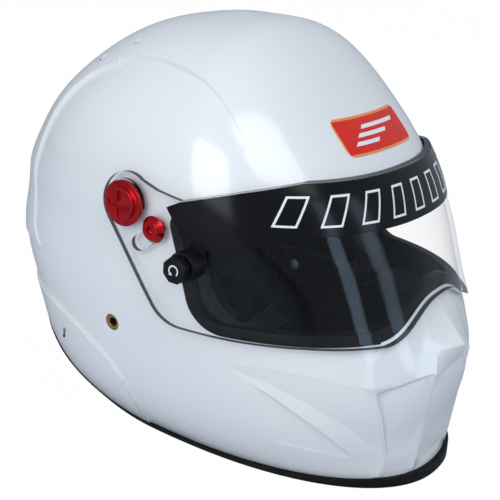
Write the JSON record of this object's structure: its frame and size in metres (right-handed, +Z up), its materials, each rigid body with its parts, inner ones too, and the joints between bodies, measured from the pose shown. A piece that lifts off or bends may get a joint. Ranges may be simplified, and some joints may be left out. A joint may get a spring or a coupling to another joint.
{
  "type": "auto racing helmet",
  "caption": "Full-face auto racing helmet with a pivoting clear shield, sun strip, padded interior and head-restraint anchors.",
  "frame": {"origin": "on the ground plane under the middle of the helmet, at the level of the bottom edge", "axes": "-Y is the way the wearer faces, the wearer's right is -X, +Z is up"},
  "size_m": [0.283, 0.3469, 0.2828],
  "materials": {
    "white_shell": "gloss white paint",
    "black_trim": "satin black rubber",
    "foam": "matte expanded foam",
    "black_fabric": "black knitted cloth over foam",
    "clear_shield": "lightly smoked clear polycarbonate",
    "sun_strip": "gloss black film",
    "red_anodised": "red anodised aluminium",
    "black_plastic": "matte black",
    "steel": "plain steel",
    "brass_insert": "dull brass",
    "webbing": "black webbing",
    "red_decal": "printed film"
  },
  "bodies": {
    "helmet": {"outer_shell": "white_shell", "rim_trim": "black_trim", "eyeport_gasket": "black_trim", "impact_liner": "foam", "chin_bar_liner": "foam", "comfort_liner": "black_fabric", "cheek_pad_right": "black_fabric", "cheek_pad_left": "black_fabric", "neck_roll": "black_fabric", "pivot_screw_right": "red_anodised", "pivot_washer_right": "black_plastic", "pivot_nut_right": "steel", "stop_screw_right": "red_anodised", "stop_nut_right": "steel", "restraint_anchor_right": "brass_insert", "strap_plate_right": "steel", "strap_rivet_right": "steel", "chin_strap_right": "webbing", "pivot_screw_left": "red_anodised", "pivot_washer_left": "black_plastic", "pivot_nut_left": "steel", "stop_screw_left": "red_anodised", "stop_nut_left": "steel", "restraint_anchor_left": "brass_insert", "strap_plate_left": "steel", "strap_rivet_left": "steel", "chin_strap_left": "webbing", "strap_snap": "steel", "forehead_decal": "red_decal"},
    "shield_assembly": {"shield": "clear_shield", "sun_strip": "sun_strip", "tear_off_post_base_right": "black_plastic", "tear_off_post_base_left": "black_plastic"},
    "post_knob_right": {"tear_off_post_knob_right": "black_plastic"},
    "post_knob_left": {"tear_off_post_knob_left": "black_plastic"},
    "lower_ring": {"d_ring_lower": "steel"},
    "upper_ring": {"d_ring_upper": "steel"}
  },
  "joints": [
    {"name": "shield_pivot", "type": "hinge", "parent": "helmet", "child": "shield_assembly", "pos_m": [0, 0.0105, 0.1745], "axis": [-1, 0, 0], "range_deg": [0, 38]},
    {"name": "post_knob_right_turn", "type": "hinge", "parent": "shield_assembly", "child": "post_knob_right", "pos_m": [-0.135, -0.041, 0.148], "axis": [-1, 0, 0], "range_deg": [0, 90]},
    {"name": "post_knob_left_turn", "type": "hinge", "parent": "shield_assembly", "child": "post_knob_left", "pos_m": [0.135, -0.041, 0.148], "axis": [1, 0, 0], "range_deg": [0, 90]},
    {"name": "lower_ring_swing", "type": "hinge", "parent": "helmet", "child": "lower_ring", "pos_m": [-0.045, 0.022, 0.0219], "axis": [0, 1, 0], "range_deg": [0, 40]},
    {"name": "upper_ring_swing", "type": "hinge", "parent": "helmet", "child": "upper_ring", "pos_m": [-0.045, 0.022, 0.0261], "axis": [0, 1, 0], "range_deg": [-60, 0]}
  ]
}
